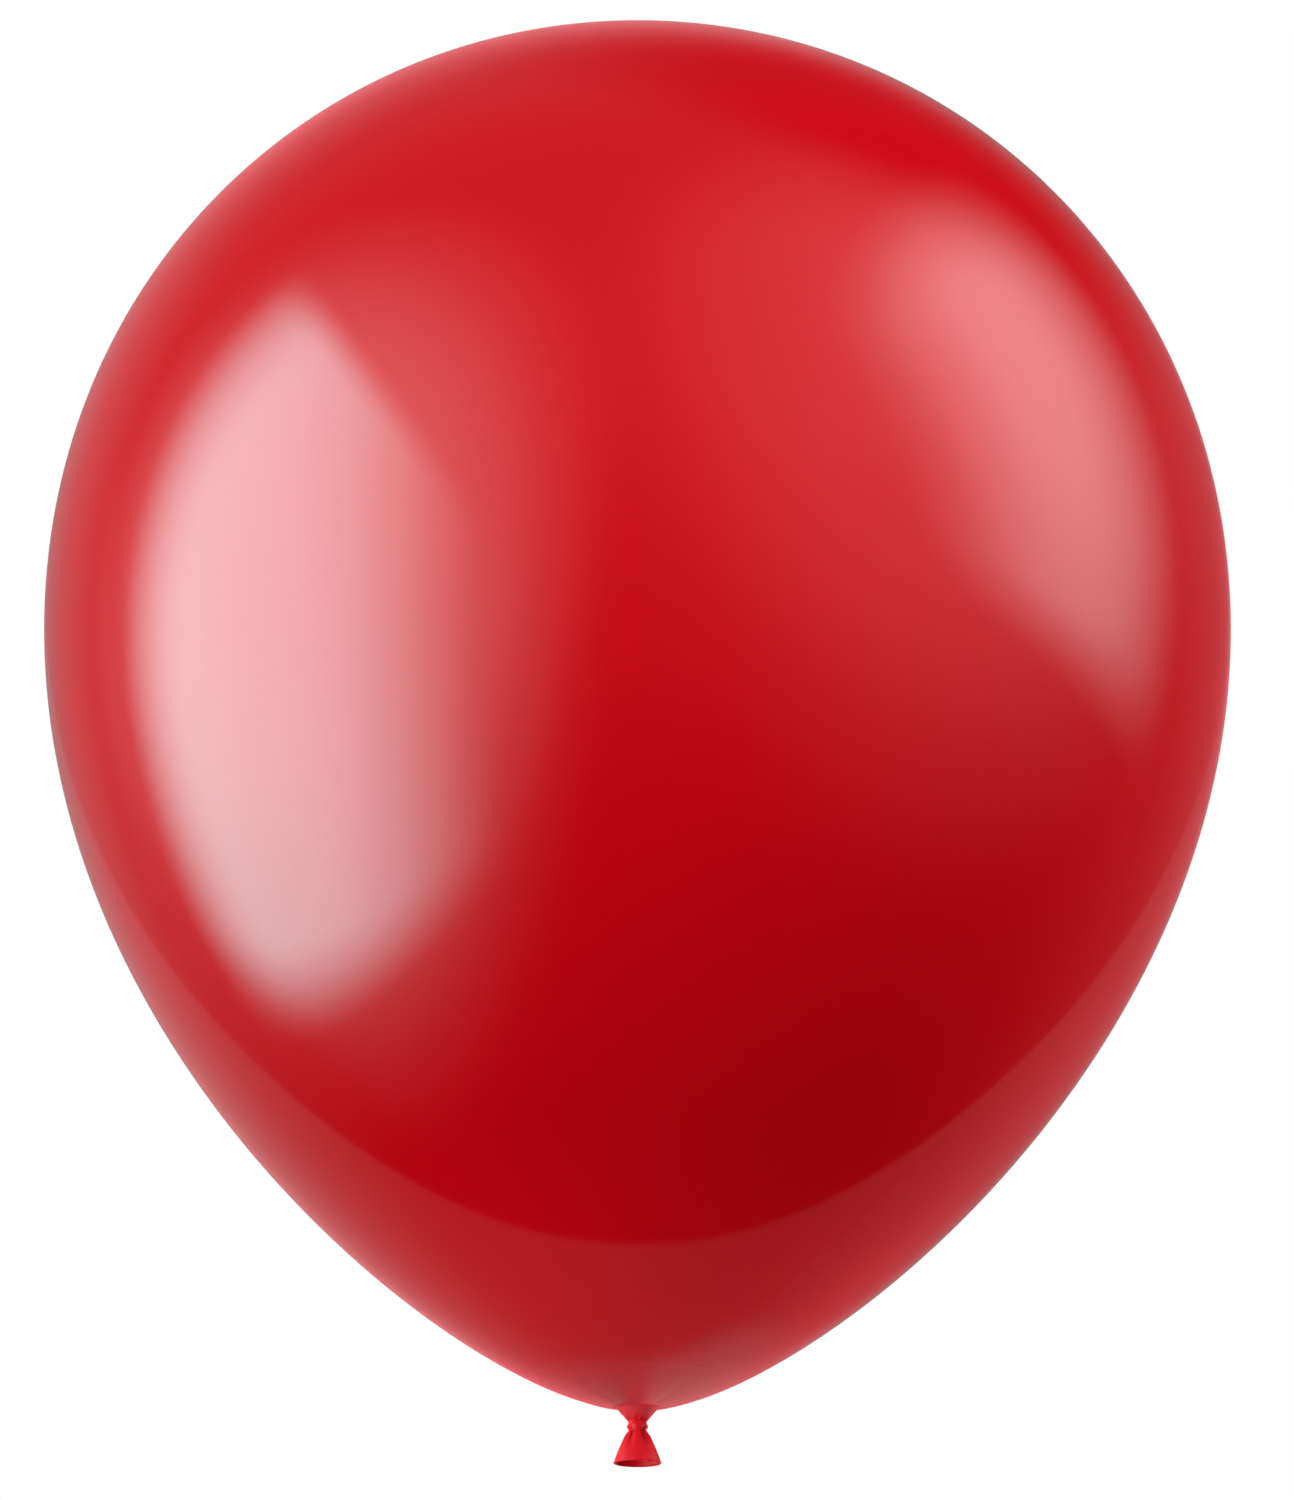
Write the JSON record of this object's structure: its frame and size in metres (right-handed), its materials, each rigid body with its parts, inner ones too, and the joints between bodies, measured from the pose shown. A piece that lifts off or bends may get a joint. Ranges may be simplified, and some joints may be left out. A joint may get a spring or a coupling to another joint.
{
  "type": "latex balloon",
  "caption": "Inflated round latex balloon, neck down, closed with its own knot above a short flared tail with an open rolled mouth.",
  "frame": {"origin": "centre of the neck's waist, just above the knot, where a ribbon or a stick's cup would hold it", "axes": "+Z along the balloon's axis from the neck up to the crown; +X to the right, -Y towards the viewer"},
  "size_m": [0.33, 0.33, 0.4043],
  "materials": {
    "stretched_latex": "gloss pearl",
    "gathered_latex": "satin"
  },
  "bodies": {
    "balloon": {"envelope": "stretched_latex", "neck": "gathered_latex"},
    "neck_pinch": {"neck_pinch": "gathered_latex"},
    "knot": {"knot_core": "gathered_latex", "knot_loop": "gathered_latex"},
    "tail": {"tail": "gathered_latex", "mouth_bead": "gathered_latex"}
  },
  "joints": [
    {"name": "neck_sway_side", "type": "hinge", "parent": "balloon", "child": "neck_pinch", "pos_m": [0, 0, -0.00117], "axis": [0, 1, 0], "range_deg": [-25, 25], "stiffness_Nm_per_rad": 0.0002},
    {"name": "neck_sway_front", "type": "hinge", "parent": "neck_pinch", "child": "knot", "pos_m": [0, 0, -0.00117], "axis": [1, 0, 0], "range_deg": [-25, 25], "stiffness_Nm_per_rad": 0.0002},
    {"name": "tail_flap", "type": "hinge", "parent": "knot", "child": "tail", "pos_m": [0, 0, -0.0021], "axis": [1, 0, 0], "range_deg": [-35, 35], "stiffness_Nm_per_rad": 0.0001}
  ]
}
